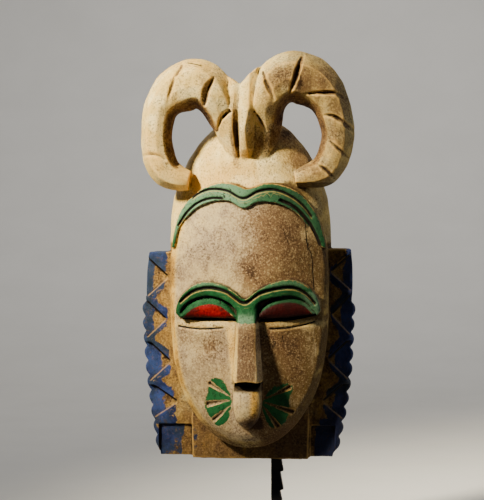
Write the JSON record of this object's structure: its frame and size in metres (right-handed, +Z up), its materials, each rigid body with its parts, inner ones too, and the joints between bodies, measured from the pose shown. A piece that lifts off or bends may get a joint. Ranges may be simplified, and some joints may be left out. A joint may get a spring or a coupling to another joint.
{
  "type": "guro mask",
  "caption": "Carved and painted wooden guro mask with curled horns, hair band, brows, whiskers and chip-carved collar, held up by an iron rod on a block foot.",
  "frame": {"origin": "centre of the foot's flat underside, on the surface that the stand rests on", "axes": "+Z up, the face looks along -Y, +X to the right of someone who looks at the face"},
  "size_m": [0.1895, 0.13, 0.4523],
  "materials": {
    "mask_wood": "hand-carved light wood, worn cream, green, red and blue paint with brown patina in the cuts",
    "rod_iron": "blackened forged iron with rough edges",
    "foot_paint": "satin black painted block"
  },
  "bodies": {
    "root": {"mask": "mask_wood", "stand_rod": "rod_iron", "stand_foot": "foot_paint"}
  },
  "joints": []
}
